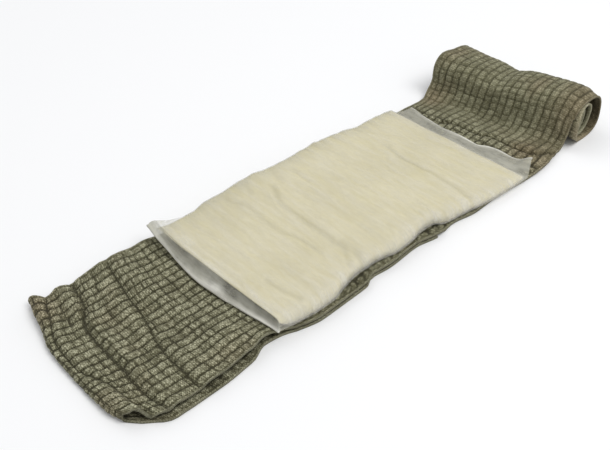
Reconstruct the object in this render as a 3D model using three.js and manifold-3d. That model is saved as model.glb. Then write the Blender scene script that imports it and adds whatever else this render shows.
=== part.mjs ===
// Emergency trauma bandage laid out flat: an elastic wrap with its tail folded under,
// an absorbent pad lying on it, and the rest of the wrap wound into a loose roll.
// Sizes are in millimetres. +X runs along the wrap towards the roll, +Y from the front
// edge to the back edge, +Z up. Tables give their columns as shares of the named sizes.
import * as THREE from "three";
import { mergeVertices } from "three/addons/utils/BufferGeometryUtils.js";
import Module from "manifold-3d";

const wasm = await Module();
wasm.setup();

// Elastic wrap
const wrapWidth = 100;
const clothThickness = 1.6;
const layerGap = 0.35;
const tailLength = 198;
const gatherHeight = 4;
const edgeWave = 6;
const endSkew = 16;

// Roll
const rollDepth = 38;
const rollHeight = 27;
const rollTurns = 4.4;
const turnGap = 0.45;
const climbLength = 10;

// Pad and its cover
const padSetback = 80;
const coreLength = 190;
const coverWidth = 99;
const padHeight = 9;
const coverThickness = 0.8;
const pieceGap = 0.4;
const nearFlange = 6;
const farFlange = 14;
const flangeThickness = 1;
const edgeRounding = 4.5;
const edgeSag = 7;
const cornerLift = 9;
const seamWidth = 1;
const seamLength = 130;
const bareLength = 30;

// How finely the surfaces are divided
const tailStep = 16;
const laidStep = 7.5;
const foldSteps = 6;
const climbSteps = 6;
const stepsPerTurn = 18;
const columns = [0, 0.04, 0.1, 0.18, 0.34, 0.5, 0.66, 0.82, 0.92, 0.97, 1];

// The folded end seen from above: how far it stays back from the outermost point
const endOutline = [
  { across: 0, back: 1 },
  { across: 0.04, back: 0.66 },
  { across: 0.1, back: 0.25 },
  { across: 0.18, back: 0.02 },
  { across: 0.34, back: 0 },
  { across: 0.5, back: 0.03 },
  { across: 0.66, back: 0.11 },
  { across: 0.82, back: 0.28 },
  { across: 0.92, back: 0.45 },
  { across: 1, back: 0.62 },
];

// Gathers of the upper layer: place along the laid run, height of the layer above its bed
// at the front edge, the middle and the back edge, and how far both edges bulge outward
const gathers = [
  { along: 0, front: 0.2, middle: 0.1, back: 0.7, frontOut: 0, backOut: 0.8 },
  { along: 0.026, front: 0.85, middle: 0.25, back: 0.95, frontOut: 0, backOut: 0.8 },
  { along: 0.056, front: 0.25, middle: 0, back: 0.05, frontOut: 0, backOut: 0 },
  { along: 0.075, front: 0.3, middle: 0.25, back: 0.4, frontOut: 0.15, backOut: 0.5 },
  { along: 0.097, front: 0.05, middle: 0, back: 0, frontOut: 0.25, backOut: 0 },
  { along: 0.137, front: 0.65, middle: 0.4, back: 0.45, frontOut: 0.3, backOut: 0.5 },
  { along: 0.156, front: 0.5, middle: 0.1, back: 0.7, frontOut: 0.35, backOut: 0.1 },
  { along: 0.187, front: 0.65, middle: 0.35, back: 1, frontOut: 0.25, backOut: 0.4 },
  { along: 0.213, front: 0.95, middle: 0.1, back: 0.5, frontOut: -0.4, backOut: 0.1 },
  { along: 0.24, front: 0.9, middle: 0.2, back: 0.4, frontOut: -0.6, backOut: 0.3 },
  { along: 0.272, front: 0.35, middle: 0.1, back: 0.2, frontOut: -0.5, backOut: 0.1 },
  { along: 0.294, front: 0.1, middle: 0.1, back: 0.2, frontOut: 0.05, backOut: 0 },
  { along: 0.38, front: 0.2, middle: 0.15, back: 0.2, frontOut: 0.67, backOut: 0 },
  { along: 0.425, front: 0.2, middle: 0.2, back: 0.2, frontOut: 0.6, backOut: 0 },
  { along: 0.454, front: 0.05, middle: 0.1, back: 0.1, frontOut: -0.15, backOut: 0 },
  { along: 0.5, front: 0.2, middle: 0.35, back: 0.4, frontOut: 0.1, backOut: 0 },
  { along: 0.567, front: 0.15, middle: 0.3, back: 0.5, frontOut: 0.1, backOut: 0 },
  { along: 0.66, front: 0.05, middle: 0.1, back: 0.2, frontOut: 0.1, backOut: 0 },
  { along: 0.77, front: 0.05, middle: 0.05, back: 0.05, frontOut: 0.15, backOut: 0 },
  { along: 0.85, front: 0.1, middle: 0.05, back: 0.05, frontOut: 1, backOut: -0.3 },
  { along: 0.92, front: 0.15, middle: 0.1, back: 0.1, frontOut: 0.4, backOut: -0.7 },
  { along: 1, front: 0, middle: 0, back: 0, frontOut: 0.1, backOut: -0.1 },
];

// Sections of the roll across the wrap: shift of the section along the wrap, its depth
// and height, the length of strip that climbs to it and the angle at which it arrives
const rollSections = [
  { across: 0, shift: 0.08, depth: 0.86, height: 0.97, climb: 1, arrive: 155 },
  { across: 0.1, shift: 0.08, depth: 0.88, height: 1.08, climb: 1, arrive: 160 },
  { across: 0.3, shift: 0.01, depth: 0.96, height: 1.1, climb: 0.95, arrive: 165 },
  { across: 0.45, shift: -0.03, depth: 0.96, height: 1.07, climb: 0.9, arrive: 168 },
  { across: 0.56, shift: -0.09, depth: 0.93, height: 0.96, climb: 0.85, arrive: 170 },
  { across: 0.7, shift: -0.1, depth: 1, height: 1.01, climb: 0.8, arrive: 172 },
  { across: 0.85, shift: -0.14, depth: 1.09, height: 1.04, climb: 0.7, arrive: 174 },
  { across: 1, shift: -0.2, depth: 1.15, height: 1.04, climb: 0.65, arrive: 176 },
];

// How far the edges of the wound strip stand out, turn by turn
const turnEdges = [
  { turn: 0, frontOut: 0.3, backOut: 0 },
  { turn: 0.2, frontOut: 0.3, backOut: 0.1 },
  { turn: 0.6, frontOut: 0.7, backOut: 0 },
  { turn: 1.2, frontOut: 0.2, backOut: -0.15 },
  { turn: 2.5, frontOut: 0, backOut: -0.2 },
  { turn: 4.4, frontOut: -0.2, backOut: -0.3 },
];

// Thickness of the pad along its filling at the front, middle and back, with the
// creases across it, and how far its long edges draw in
const padSections = [
  { along: 0, front: 0.88, middle: 0.95, back: 0.92, frontIn: 0, backIn: 0 },
  { along: 0.06, front: 0.9, middle: 1, back: 0.95, frontIn: 0, backIn: -0.05 },
  { along: 0.11, front: 0.78, middle: 0.9, back: 0.88, frontIn: 0.1, backIn: 0 },
  { along: 0.16, front: 0.92, middle: 1.05, back: 1.07, frontIn: 0.3, backIn: -0.15 },
  { along: 0.22, front: 0.92, middle: 1.05, back: 1.06, frontIn: 0.25, backIn: -0.1 },
  { along: 0.28, front: 0.76, middle: 0.9, back: 0.94, frontIn: 0.45, backIn: 0 },
  { along: 0.32, front: 0.9, middle: 1.02, back: 1.08, frontIn: 0.6, backIn: -0.15 },
  { along: 0.375, front: 0.7, middle: 0.84, back: 1.16, frontIn: 0.7, backIn: -0.4 },
  { along: 0.43, front: 0.9, middle: 1.05, back: 1.06, frontIn: 0.7, backIn: -0.1 },
  { along: 0.5, front: 0.92, middle: 1.02, back: 0.98, frontIn: 0.9, backIn: -0.1 },
  { along: 0.56, front: 0.92, middle: 1.05, back: 1.05, frontIn: 1, backIn: -0.15 },
  { along: 0.64, front: 0.9, middle: 1, back: 1.04, frontIn: 0.85, backIn: -0.25 },
  { along: 0.72, front: 0.76, middle: 0.86, back: 0.9, frontIn: 0.5, backIn: -0.1 },
  { along: 0.79, front: 0.6, middle: 0.7, back: 0.74, frontIn: 0.4, backIn: -0.05 },
  { along: 0.83, front: 0.52, middle: 0.58, back: 0.66, frontIn: 0.35, backIn: -0.05 },
  { along: 0.9, front: 0.56, middle: 0.64, back: 0.68, frontIn: 0.2, backIn: -0.15 },
  { along: 1, front: 0.48, middle: 0.54, back: 0.56, frontIn: -0.1, backIn: -0.05 },
];

// Smooth value of a table column, level at each row that is a peak or a dip
function curve(table, key, column, at) {
  const last = table.length - 1;
  if (at <= table[0][key]) return table[0][column];
  if (at >= table[last][key]) return table[last][column];
  let row = 0;
  while (at > table[row + 1][key]) row += 1;
  const slope = (i) => {
    if (i < 0 || i >= last) return 0;
    return (table[i + 1][column] - table[i][column]) / (table[i + 1][key] - table[i][key]);
  };
  const tangent = (i) => {
    const before = slope(i - 1);
    const after = slope(i);
    return before * after > 0 ? (2 * before * after) / (before + after) : 0;
  };
  const span = table[row + 1][key] - table[row][key];
  const t = (at - table[row][key]) / span;
  const t2 = t * t;
  const t3 = t2 * t;
  return (2 * t3 - 3 * t2 + 1) * table[row][column]
    + (t3 - 2 * t2 + t) * span * tangent(row)
    + (3 * t2 - 2 * t3) * table[row + 1][column]
    + (t3 - t2) * span * tangent(row + 1);
}

const blend = (t) => {
  const c = Math.min(1, Math.max(0, t));
  return c * c * (3 - 2 * c);
};
const mix = (a, b, t) => a + (b - a) * t;

// Value across the width from its values at the front edge, the middle and the back edge
function acrossWidth(front, middle, back, share) {
  return share < 0.5
    ? mix(front, middle, blend(2 * share))
    : mix(middle, back, blend(2 * share - 1));
}

// Places along the wrap that follow from the sizes
const coverStart = padSetback;
const pocketStart = coverStart + nearFlange + coverThickness;
const coreStart = pocketStart + pieceGap;
const coreEnd = coreStart + coreLength;
const pocketEnd = coreEnd + pieceGap;
const coverEnd = pocketEnd + coverThickness + farFlange;
const rollStart = coverEnd + bareLength;
const laidStart = endSkew + 2 * clothThickness;
const laidEnd = coverEnd + 4;
const turnPitch = clothThickness + turnGap;
const tailBed = clothThickness + layerGap;
const depthDraw = 1.35;
const edgeReach = 0.15;

// Height of the upper face of the laid strip
function laidTop(x, share) {
  const along = x / rollStart;
  const lift = acrossWidth(
    curve(gathers, "along", "front", along),
    curve(gathers, "along", "middle", along),
    curve(gathers, "along", "back", along),
    share,
  );
  const bed = tailBed * (1 - blend((x - tailLength - clothThickness) / (4 * clothThickness)));
  return clothThickness + bed + lift * gatherHeight;
}

// Place across the wrap when both edges stand out, which the cloth beside them follows
function edgeWaved(share, frontOut, backOut) {
  const nearFront = Math.max(0, 1 - share / edgeReach);
  const nearBack = Math.max(0, 1 - (1 - share) / edgeReach);
  return share * wrapWidth + edgeWave * (nearBack * backOut - nearFront * frontOut);
}

function wrapY(x, share) {
  const along = x / rollStart;
  const frontOut = curve(gathers, "along", "frontOut", along);
  return edgeWaved(share, frontOut, curve(gathers, "along", "backOut", along));
}

// Stations of the laid run, shared by the strip and the pad that lies on it
const laidStations = [];
const laidSteps = Math.ceil((laidEnd - laidStart) / laidStep);
for (let i = 0; i <= laidSteps; i += 1) {
  laidStations.push(mix(laidStart, laidEnd, i / laidSteps));
}

// Section of the roll at one place across the wrap
function rollSection(share) {
  const row = (column) => curve(rollSections, "across", column, share);
  const arrive = (row("arrive") * Math.PI) / 180;
  const depth = row("depth") * rollDepth;
  const height = row("height") * rollHeight;
  const turnsTo = (angle) => (arrive - angle) / (2 * Math.PI);
  const draw = turnPitch * depthDraw;
  const halfDepth = (depth - clothThickness + draw * turnsTo(0)) / 2;
  const halfHeight = (height - clothThickness
    + turnPitch * (turnsTo(Math.PI / 2) + turnsTo(-Math.PI / 2))) / 2;
  const left = rollStart + row("shift") * rollDepth + (rollDepth - depth) / 2;
  return {
    arrive,
    draw,
    halfDepth,
    halfHeight,
    climb: row("climb") * climbLength,
    x: left + clothThickness / 2 + halfDepth,
    z: clothThickness / 2 + halfHeight - turnPitch * turnsTo(-Math.PI / 2),
  };
}

function onRoll(section, turn) {
  const angle = section.arrive - turn * 2 * Math.PI;
  const a = section.halfDepth - section.draw * turn;
  const b = section.halfHeight - turnPitch * turn;
  return {
    x: section.x + a * Math.cos(angle),
    z: section.z + b * Math.sin(angle),
    alongX: a * Math.sin(angle),
    alongZ: -b * Math.cos(angle),
  };
}

// Middle line of the strip at one place across the wrap, with the direction of its
// outer face, from the tail's free end round the fold, along the laid run and into the roll
function stripLine(share) {
  const line = [];
  const low = clothThickness / 2;
  const nose = endSkew * curve(endOutline, "across", "back", share);
  const high = laidTop(nose + clothThickness, share) - low;
  const bend = Math.min((high - low) / 2, clothThickness);
  const foldX = nose + low + bend;
  const foldZ = (high + low) / 2;
  const tailSteps = Math.max(3, Math.ceil(tailLength / tailStep));
  for (let i = 0; i < tailSteps; i += 1) {
    const x = mix(tailLength, foldX, i / tailSteps);
    line.push({ x, y: wrapY(x, share), z: low, outX: 0, outZ: -1 });
  }
  for (let i = 0; i <= foldSteps; i += 1) {
    const angle = (Math.PI * i) / foldSteps;
    const x = foldX - bend * Math.sin(angle);
    const z = foldZ - ((high - low) / 2) * Math.cos(angle);
    line.push({ x, y: wrapY(x, share), z, outX: -Math.sin(angle), outZ: -Math.cos(angle) });
  }
  const middleX = mix(foldX, laidStart, 0.5);
  for (const x of [middleX, ...laidStations]) {
    line.push({ x, y: wrapY(x, share), z: laidTop(x, share) - low, outX: 0, outZ: 1 });
  }
  const section = rollSection(share);
  const landing = onRoll(section, 0);
  const startX = section.x - section.halfDepth - section.climb;
  const lastX = mix(laidEnd, startX, 0.5);
  line.push({
    x: lastX,
    y: wrapY(lastX, share),
    z: laidTop(lastX, share) - low,
    outX: 0,
    outZ: 1,
  });
  const startZ = laidTop(startX, share) - low;
  const reach = Math.hypot(landing.x - startX, landing.z - startZ);
  const turnScale = reach / Math.hypot(landing.alongX, landing.alongZ);
  const hermite = (t, from, to, fromSlope, toSlope) => (2 * t ** 3 - 3 * t ** 2 + 1) * from
    + (t ** 3 - 2 * t ** 2 + t) * fromSlope + (3 * t ** 2 - 2 * t ** 3) * to
    + (t ** 3 - t ** 2) * toSlope;
  const slope = (t, from, to, fromSlope, toSlope) => (6 * t ** 2 - 6 * t) * (from - to)
    + (3 * t ** 2 - 4 * t + 1) * fromSlope + (3 * t ** 2 - 2 * t) * toSlope;
  for (let i = 0; i < climbSteps; i += 1) {
    const t = i / climbSteps;
    const endsX = [startX, landing.x, reach, landing.alongX * turnScale];
    const endsZ = [startZ, landing.z, 0, landing.alongZ * turnScale];
    const alongX = slope(t, ...endsX);
    const alongZ = slope(t, ...endsZ);
    const length = Math.hypot(alongX, alongZ);
    const x = hermite(t, ...endsX);
    line.push({
      x,
      y: wrapY(Math.min(x, rollStart), share),
      z: hermite(t, ...endsZ),
      outX: -alongZ / length,
      outZ: alongX / length,
    });
  }
  const steps = Math.round(rollTurns * stepsPerTurn);
  for (let i = 0; i <= steps; i += 1) {
    const turn = i / stepsPerTurn;
    const at = onRoll(section, turn);
    const length = Math.hypot(at.alongX, at.alongZ);
    const frontOut = curve(turnEdges, "turn", "frontOut", turn);
    const y = edgeWaved(share, frontOut, curve(turnEdges, "turn", "backOut", turn));
    line.push({ x: at.x, y, z: at.z, outX: -at.alongZ / length, outZ: at.alongX / length });
  }
  return line;
}

// Closed solid between two grids of points with the same rows and columns. Where a test
// says so, a patch is split along its other diagonal.
function sheetBetween(over, under, otherWay = () => false) {
  const rows = over.length;
  const cols = over[0].length;
  const positions = [...over, ...under].flat(2);
  const top = (i, j) => i * cols + j;
  const low = (i, j) => rows * cols + i * cols + j;
  const index = [];
  const quad = (a, b, c, d, turned = false) => {
    if (turned) index.push(b, c, d, b, d, a);
    else index.push(a, b, c, a, c, d);
  };
  for (let i = 0; i < rows - 1; i += 1) {
    for (let j = 0; j < cols - 1; j += 1) {
      const turned = otherWay(over[i][j][0], over[i][j][1]);
      quad(top(i, j), top(i + 1, j), top(i + 1, j + 1), top(i, j + 1), turned);
      quad(low(i, j), low(i, j + 1), low(i + 1, j + 1), low(i + 1, j), turned);
    }
    const j = cols - 1;
    quad(low(i, 0), low(i + 1, 0), top(i + 1, 0), top(i, 0));
    quad(low(i + 1, j), low(i, j), top(i, j), top(i + 1, j));
  }
  for (let j = 0; j < cols - 1; j += 1) {
    const i = rows - 1;
    quad(low(0, j + 1), low(0, j), top(0, j), top(0, j + 1));
    quad(low(i, j), low(i, j + 1), top(i, j + 1), top(i, j));
  }
  const geometry = new THREE.BufferGeometry();
  geometry.setAttribute("position", new THREE.Float32BufferAttribute(positions, 3));
  geometry.setIndex(index);
  return geometry;
}

function elasticWrap() {
  const lines = columns.map(stripLine);
  const half = clothThickness / 2;
  const face = (side) => lines[0].map((_, i) => lines.map((line) => {
    const p = line[i];
    return [p.x + side * half * p.outX, p.y, p.z + side * half * p.outZ];
  }));
  return sheetBetween(face(1), face(-1));
}

// Height of the strip's faceted upper face under the pad
function underPad(x, y) {
  const heightAt = (station) => {
    let j = 0;
    while (j < columns.length - 2 && y > wrapY(station, columns[j + 1])) j += 1;
    const y0 = wrapY(station, columns[j]);
    const y1 = wrapY(station, columns[j + 1]);
    const t = Math.min(1, Math.max(0, (y - y0) / (y1 - y0)));
    return mix(laidTop(station, columns[j]), laidTop(station, columns[j + 1]), t);
  };
  let i = 0;
  while (i < laidStations.length - 2 && x > laidStations[i + 1]) i += 1;
  const t = (x - laidStations[i]) / (laidStations[i + 1] - laidStations[i]);
  return mix(heightAt(laidStations[i]), heightAt(laidStations[i + 1]), t);
}

// Rounded border of the pad: share of the full thickness at a distance from its rim
const rim = [0, coverThickness, edgeRounding / 2, edgeRounding];
function rounding(distance) {
  const round = (d) => Math.sqrt(1 - (1 - d / edgeRounding) ** 2);
  if (distance <= 0) return 0;
  for (let i = 1; i < rim.length; i += 1) {
    if (distance <= rim[i]) {
      const t = (distance - rim[i - 1]) / (rim[i] - rim[i - 1]);
      return mix(round(rim[i - 1]), round(rim[i]), t);
    }
  }
  return 1;
}

const coverFront = (wrapWidth - coverWidth) / 2;
const coverBack = coverFront + coverWidth;
const padAlong = (x) => (x - coreStart) / coreLength;
const padFront = (x) => coverFront + edgeSag * curve(padSections, "along", "frontIn", padAlong(x));
const padBack = (x) => coverBack - edgeSag * curve(padSections, "along", "backIn", padAlong(x));

// Lower and upper face of the pad's cover at one point
function coverFaces(x, y) {
  const share = (y - coverFront) / coverWidth;
  const along = padAlong(x);
  const full = padHeight * acrossWidth(
    curve(padSections, "along", "front", along),
    curve(padSections, "along", "middle", along),
    curve(padSections, "along", "back", along),
    Math.min(1, Math.max(0, share)),
  ) - flangeThickness;
  const fromEnd = Math.min(
    x - pocketStart + coverThickness,
    pocketEnd + coverThickness - x,
  );
  const fromSide = Math.min(y - padFront(x), padBack(x) - y);
  const endRise = rounding(fromEnd);
  const sideRise = rounding(fromSide);
  const seam = 0.3 * full * endRise * (1 - sideRise);
  const towardsStart = blend((pocketStart + 2 * edgeRounding - x) / (3 * edgeRounding));
  const lift = cornerLift * towardsStart * blend((share - 0.72) / 0.28);
  const low = underPad(x, y) + pieceGap + seam + lift;
  return { low, high: low + flangeThickness + full * Math.min(endRise, sideRise) - seam };
}

// Stations shared by the shells of the pad
const coverNear = pocketStart - coverThickness;
const coverFar = pocketEnd + coverThickness;
const rimStations = rim.flatMap((d) => [coverNear + d, coverFar - d]);
const plainStations = laidStations.filter((x) => rimStations.every((r) => Math.abs(x - r) > 1));
const padStations = [...rimStations, ...plainStations].sort((a, b) => a - b);

// Grid of points for one shell of the pad, drawn in from the cover's outside
function padShell(startX, endX, inset) {
  const border = [...new Set(rim.map((d) => Math.max(d, inset)))];
  const between = padStations.filter((x) => x > startX && x < endX);
  const rows = [startX, ...between, endX].map((x) => {
    const front = padFront(x);
    const back = padBack(x);
    const inner = columns.map((share) => share * wrapWidth)
      .filter((y) => y > coverFront + edgeSag + edgeRounding + 2)
      .filter((y) => y < coverBack - edgeRounding - 6);
    return [
      ...border.map((d) => [x, front + d]),
      ...inner.map((y) => [x, y]),
      ...border.map((d) => [x, back - d]).reverse(),
    ];
  });
  const face = (pick) => rows.map((row) => row.map(([x, y]) => [x, y, pick(coverFaces(x, y))]));
  return {
    over: face((at) => at.high - inset),
    under: face((at) => at.low + inset),
  };
}

// At two corners of the pad the rounded border needs the other diagonal
const seamY = coverFront + coverWidth / 2;
const atCorner = (x, y) => (x < coverNear + edgeRounding && y > seamY)
  || (x >= coverFar - edgeRounding && y < seamY);

function padCore() {
  const inset = coverThickness + pieceGap;
  const shell = padShell(coreStart, coreEnd, inset);
  return sheetBetween(shell.over, shell.under, atCorner);
}

const asSolid = (geometry) => new wasm.Manifold(new wasm.Mesh({
  numProp: 3,
  vertProperties: new Float32Array(geometry.attributes.position.array),
  triVerts: new Uint32Array(geometry.index.array),
}));

function fromSolid(solid) {
  const mesh = solid.getMesh();
  const geometry = new THREE.BufferGeometry();
  const positions = [];
  for (let i = 0; i < mesh.numVert; i += 1) {
    const at = i * mesh.numProp;
    positions.push(...mesh.vertProperties.slice(at, at + 3));
  }
  geometry.setAttribute("position", new THREE.Float32BufferAttribute(positions, 3));
  geometry.setIndex([...mesh.triVerts]);
  return mergeVertices(geometry, 1e-5);
}

// The cover is hollow round the filling, with its overlap seam left open underneath
function padCover() {
  const outer = padShell(coverStart, coverEnd, 0);
  const pocket = padShell(pocketStart, pocketEnd, coverThickness);
  const middle = (coreStart + coreEnd) / 2;
  const ends = [middle - seamLength / 2, middle + seamLength / 2];
  const stations = [ends[0], ...laidStations.filter((x) => x > ends[0] && x < ends[1]), ends[1]];
  const slot = (rise) => stations.map((x) => [-0.5, 0.5].map((side) => {
    const y = seamY + side * seamWidth;
    return [x, y, coverFaces(x, y).low + rise];
  }));
  const seam = sheetBetween(slot(2 * coverThickness), slot(-coverThickness));
  const solid = asSolid(sheetBetween(outer.over, outer.under, atCorner))
    .subtract(asSolid(sheetBetween(pocket.over, pocket.under, atCorner)))
    .subtract(asSolid(seam));
  return fromSolid(solid);
}

function piece(name, geometry, colour, roughness) {
  const material = new THREE.MeshStandardMaterial({ color: colour, roughness, metalness: 0 });
  material.name = name;
  const flat = geometry.clone();
  flat.computeVertexNormals();
  const mesh = new THREE.Mesh(flat, material);
  mesh.name = name;
  return mesh;
}

const bandage = new THREE.Group();
bandage.name = "emergency_trauma_bandage";
bandage.add(piece("elastic_wrap", elasticWrap(), 0x77755c, 0.95));
bandage.add(piece("pad_core", padCore(), 0xe6dfc4, 0.95));
bandage.add(piece("pad_cover", padCover(), 0xe9e6da, 0.9));

// The origin is the middle of the footprint, on the surface that the bandage lies on
const box = new THREE.Box3().setFromObject(bandage);
for (const mesh of bandage.children) {
  mesh.geometry.translate(-(box.min.x + box.max.x) / 2, -(box.min.y + box.max.y) / 2, 0);
}

export default bandage;
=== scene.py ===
import bpy
import numpy as np
from mathutils import Matrix


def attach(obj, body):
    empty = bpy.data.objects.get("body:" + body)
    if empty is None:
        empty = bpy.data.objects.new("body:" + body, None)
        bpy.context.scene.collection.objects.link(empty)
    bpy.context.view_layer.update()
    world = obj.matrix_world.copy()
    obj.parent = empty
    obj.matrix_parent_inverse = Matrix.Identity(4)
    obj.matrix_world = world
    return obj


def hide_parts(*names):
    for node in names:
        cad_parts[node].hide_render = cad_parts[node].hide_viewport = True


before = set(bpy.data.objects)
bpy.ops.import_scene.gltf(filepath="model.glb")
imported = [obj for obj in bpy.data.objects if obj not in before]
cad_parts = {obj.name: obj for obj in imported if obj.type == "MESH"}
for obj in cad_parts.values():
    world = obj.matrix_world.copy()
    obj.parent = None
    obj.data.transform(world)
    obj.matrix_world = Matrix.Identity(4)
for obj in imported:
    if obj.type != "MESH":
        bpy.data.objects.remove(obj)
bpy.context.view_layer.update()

# Where the fold's outermost point and the wrap's front edge lie in the frame
ORIGIN_X = -180.58
ORIGIN_Y = -49.05

# Elastic wrap
WRAP_WIDTH = 100
CLOTH = 1.6
LAYER_GAP = 0.35
TAIL = 198
GATHER = 4
EDGE_WAVE = 6
END_SKEW = 16
SKEW_REACH = 130
EDGE_REACH = 0.15
BEND = 1.25
FOLD_HALF = 3
OVER_TAIL = 0.85
STRIP_SWELL = 0.45

# Start and length of stretches along the strip: where its swells fade out before the pad,
# where they come back after it, and where the knit gets darker and calmer towards the roll
SWELL_OUT = (66, 14)
SWELL_BACK = (286.5, 4.5)
CALMER = (288, 16)

# Half thickness of the wrap's ground, height of its cells on each face, and least height
GROUND = 0.3
OUTER_CELL = 0.55
INNER_CELL = 0.42
ABOVE_FLOOR = 0.02

# Roll, with the last three places counted along the strip from the fold
ROLL_DEPTH = 38
ROLL_HEIGHT = 27
ROLL_TURNS = 4.4
TURN_PITCH = 2.05
MEAN_RADIUS = 15.9
RADIUS_LOSS = 1.39
CLIMB = 10
ROLL_START = 322.4
LAID_END = 296.4
CLIMB_FROM = 312
ROLL_FROM = 331

# Pad
COVER_START = 80
COVER_END = 292.4
CORE_START = 84.8
CORE_END = 273
PAD_FROM = 87.2
PAD_LENGTH = 190
UNDERCUT = 5
COVER_FRONT = 0.5
COVER_WIDTH = 99
PAD_HEIGHT = 9
PIECE_GAP = 0.4
FLANGE = 1
ROUNDING = 4.5
EDGE_SAG = 7
PAD_STEP = 1.1

# How far the filling, and the veil's inner face, lie inside the veil: from its sides and faces
CORE_INSET = (1.2, 0.75)
VEIL_INSET = (0.7, 0.35)

# Veil: lifts of its start corner and of its end's front corner, the small fold's place from
# the front, spread and rise, and the share of light that its outer and its inner layer stop
# in the flanges, in the tented start and over the filling
CORNER_LIFT = 2.5
VEIL_LIFT = 7.2
END_CURL = 4.5
FOLD_PLACE = 44
FOLD_SPREAD = (8, 1.7)
FOLD_RISE = 1.2
OUTER_LOOK = (0.46, 0.43, 0.14)
INNER_LOOK = (0.2, 0.06, 0.1)

# Weave: ribs run along the strip, and lines cross them, closer or wider in its stretches
RIBS = 20
RIB_WOBBLE = 0.11
SELVEDGE = 1.05
BESIDE_SELVEDGE = 0.4
LINE_SPACING = {"hidden": 5.8, "wound": 4.2, "shown": 4.7}
LINE_SPREAD = (0.72, 1.28)
LINE_WANDER = 1.5
LINE_LOOSE = 0.75
LEAST_SPACING = 2.2
BEFORE_CREASE = 0.8
LAST_CELL = 4
FAINT_SHARE = 0.1
LINES_SOFTER = 0.12
FIRST_SEED = 11

# Points of one rib and one cell, and the height at each, with fine cells where they show
RIB_PARTS = (0, 0.2, 0.5, 0.8)
RIB_SHAPE = (0, 0.85, 1, 0.85)
FINE_PARTS = (0, 0.14, 0.38, 0.66, 0.86)
FINE_SHAPE = (0, 0.75, 1, 1, 0.75)
ROUGH_PARTS = (0, 0.5)
ROUGH_SHAPE = (0, 1)
FINE_RUNS = ((-4, 93), (284, 437))

# Flat cloth in metres: where the strip's fold lies on it, and how far the under face is aside
FOLD_ON_CLOTH = 0.3
UNDER_ASIDE = 0.15

# Knit in metres: width of a wale, height of a course and how far the wales wander
WALE_WIDTH = 0.0012
COURSE_HEIGHT = 0.00105
WALE_WANDER = 0.0011
FULL_TURN = 6.2832

# The folded end seen from above: share of the skew that it stays back
END_OUTLINE = {
    "across": (0, 0.05, 0.12, 0.34, 0.5, 0.66, 0.82, 0.92, 1),
    "back": (0.17, 0.1, 0.03, 0, 0.02, 0.06, 0.32, 0.49, 0.66),
}

# How far the front edge draws in at the folded end
END_PULL = {"from_end": (0, 2.7, 6.7, 12.4, 17.3, 23), "front": (12.7, 12.7, 8.1, 3, 0.9, 0)}

# How far the upper layer's front edge stays behind the lower layer's
UPPER_INSET = {"from_end": (0, 4, 9, 13, 20, 60, 78), "front": (0, 0, 3, 1, 3, 3, 0)}

# Gathers of the upper layer: share of the way to the roll, lifts and how far the edges reach out
GATHER_COLUMNS = ("along", "front", "middle", "back", "front_out", "back_out")
GATHER_ROWS = (
    (0, 0.2, 0.1, 0.7, 0, 0.6),
    (0.026, 1, 0.25, 0.95, 0, 0.7),
    (0.04, 0.1, 0.1, 0.6, 0, 0.6),
    (0.055, 0.4, 0, 0.1, 0.3, 0.1),
    (0.062, 0.45, 0, 0.05, 0.35, 0),
    (0.078, 0.5, 0.25, 0.4, 0.35, 0.2),
    (0.1, 0.3, 0, 0, 0.38, 0.1),
    (0.137, 0.65, 0.4, 0.45, 0.38, 0.15),
    (0.156, 0.5, 0.1, 0.7, 0.36, 0.15),
    (0.187, 0.65, 0.35, 0.8, 0.2, 0.15),
    (0.208, 0.95, 0.1, 0.5, 0.07, 0.25),
    (0.24, 0.9, 0.2, 0.4, -0.6, 0.3),
    (0.272, 0.35, 0.1, 0.2, -0.4, 0.1),
    (0.294, 0.1, 0.1, 0.2, 0.05, 0),
    (0.34, 0.15, 0.12, 0.2, 0.55, 0),
    (0.38, 0.2, 0.15, 0.2, 0.5, 0),
    (0.438, 0.2, 0.2, 0.2, 0.4, 0),
    (0.46, 0.05, 0.1, 0.1, -0.1, 0),
    (0.5, 0.2, 0.35, 0.4, 0.1, 0),
    (0.567, 0.15, 0.3, 0.5, -0.1, 0),
    (0.62, 0.08, 0.18, 0.3, 0.35, 0),
    (0.66, 0.05, 0.1, 0.2, 0.05, 0),
    (0.72, 0.05, 0.08, 0.1, 0.5, 0),
    (0.77, 0.05, 0.05, 0.05, 0.4, 0),
    (0.85, 0.1, 0.05, 0.05, 0.7, -0.3),
    (0.89, 0.25, 0.25, 0.3, 0.85, -0.5),
    (0.93, 0.32, 0.32, 0.3, 0.7, -0.6),
    (0.97, 0.15, 0.1, 0.2, 0.25, 0),
    (1, 0, 0, 0, 0.1, 0.1),
)

# Sections of the roll across the wrap, with the angle in degrees where the strip arrives
ROLL_SQUARE = 0.06
ROLL_COLUMNS = ("across", "shift", "depth", "height", "climb", "arrive", "square")
ROLL_ROWS = (
    (0, 0.04, 0.91, 1.02, 1, 155, 0),
    (0.1, 0.07, 0.9, 1.12, 1, 160, 0),
    (0.3, 0.01, 0.96, 1.08, 0.95, 165, 0),
    (0.45, -0.03, 0.96, 1.03, 0.9, 168, 0),
    (0.56, -0.09, 0.93, 0.93, 0.85, 170, 0),
    (0.7, -0.1, 1, 0.98, 0.9, 172, 0.04),
    (0.85, -0.12, 1.08, 0.98, 1.15, 174, 0.2),
    (1, -0.11, 1.12, 0.98, 1.4, 176, 0.37),
)

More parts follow.
